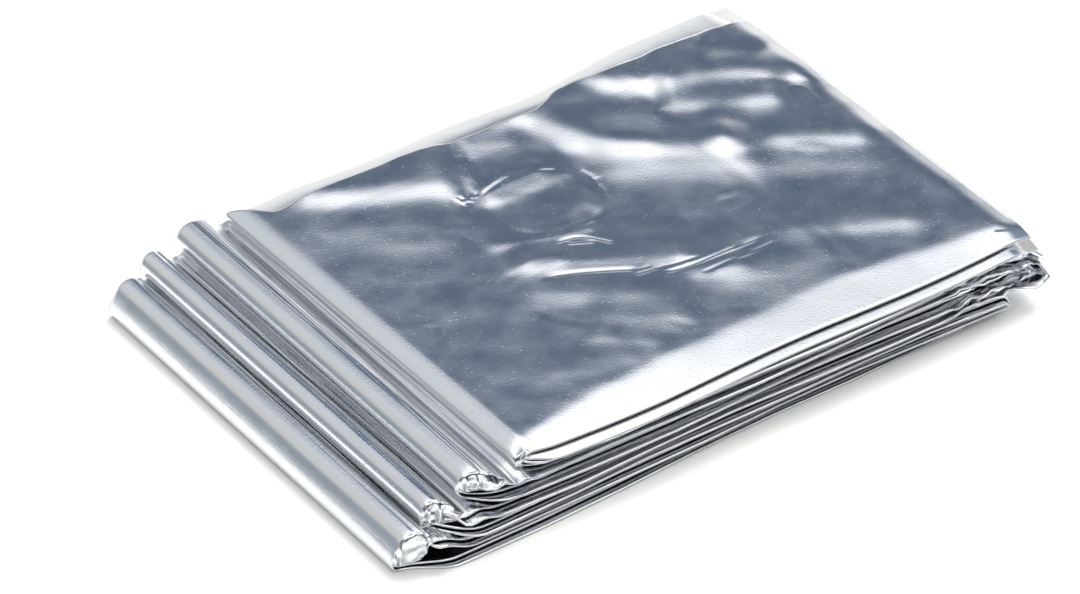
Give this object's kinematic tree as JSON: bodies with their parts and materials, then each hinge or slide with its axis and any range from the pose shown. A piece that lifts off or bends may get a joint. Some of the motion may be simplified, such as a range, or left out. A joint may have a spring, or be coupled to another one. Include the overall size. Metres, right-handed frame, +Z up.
{
  "type": "folded emergency foil blanket",
  "caption": "Flat packet of thin metallised film sheet, folded back and forth, with stepped rolled folds along one end.",
  "frame": {"origin": "under the middle of the packet, on the surface it rests on", "axes": "+X along the packet from the stepped folds to the straight end, +Y from its front edge to its back edge, +Z up"},
  "size_m": [0.1347, 0.0928, 0.0135],
  "materials": {
    "foil": "bright, finely creased metallised film"
  },
  "bodies": {
    "root": {"foil_blanket": "foil"}
  },
  "joints": []
}
